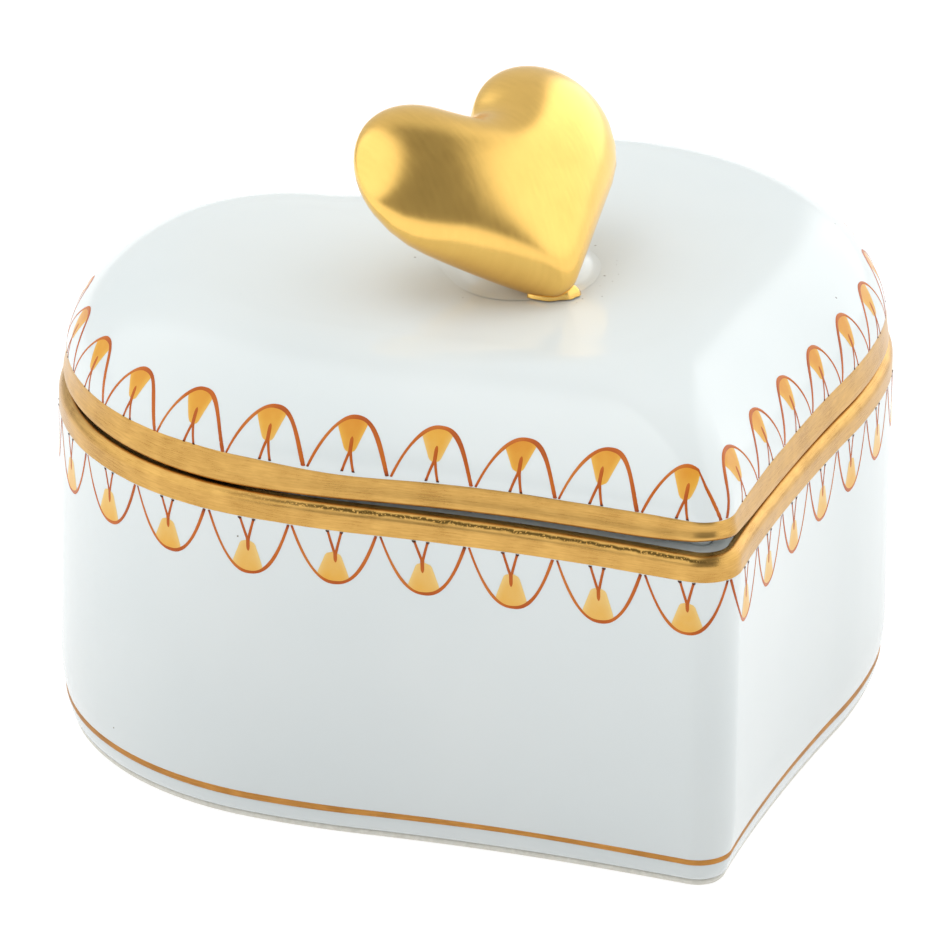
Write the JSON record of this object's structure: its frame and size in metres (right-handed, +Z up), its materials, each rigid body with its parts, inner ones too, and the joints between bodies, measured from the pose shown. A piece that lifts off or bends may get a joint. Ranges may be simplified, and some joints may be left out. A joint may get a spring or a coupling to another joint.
{
  "type": "heart-shaped trinket box",
  "caption": "Small lidded porcelain box, heart-shaped in plan, with gilt rims, a lift-off domed lid and a puffy heart knob.",
  "frame": {"origin": "On the surface that the box stands on, under the middle of the box's plan", "axes": "+Z up; the heart's tip points to -Y and its two lobes to +Y; +X is to the right seen from the tip"},
  "size_m": [0.0644, 0.0628, 0.0511],
  "materials": {
    "glazed_porcelain": "clear gloss glaze over white hard-paste porcelain",
    "bare_porcelain": "dry unglazed foot, ground smooth",
    "burnished_gold": "fired gold, hand-burnished to satin"
  },
  "bodies": {
    "base": {"base_foot_ring": "bare_porcelain", "base_bowl": "glazed_porcelain", "base_collar": "glazed_porcelain", "base_rim_gilding": "burnished_gold", "base_foot_line": "burnished_gold"},
    "lid": {"lid_dome": "glazed_porcelain", "lid_rim_gilding": "burnished_gold", "knob_pad": "glazed_porcelain", "heart_knob": "burnished_gold"}
  },
  "joints": [
    {"name": "lid_lift", "type": "slide", "parent": "base", "child": "lid", "axis": [0, 0, 1], "range_m": [0, 0.045]}
  ]
}
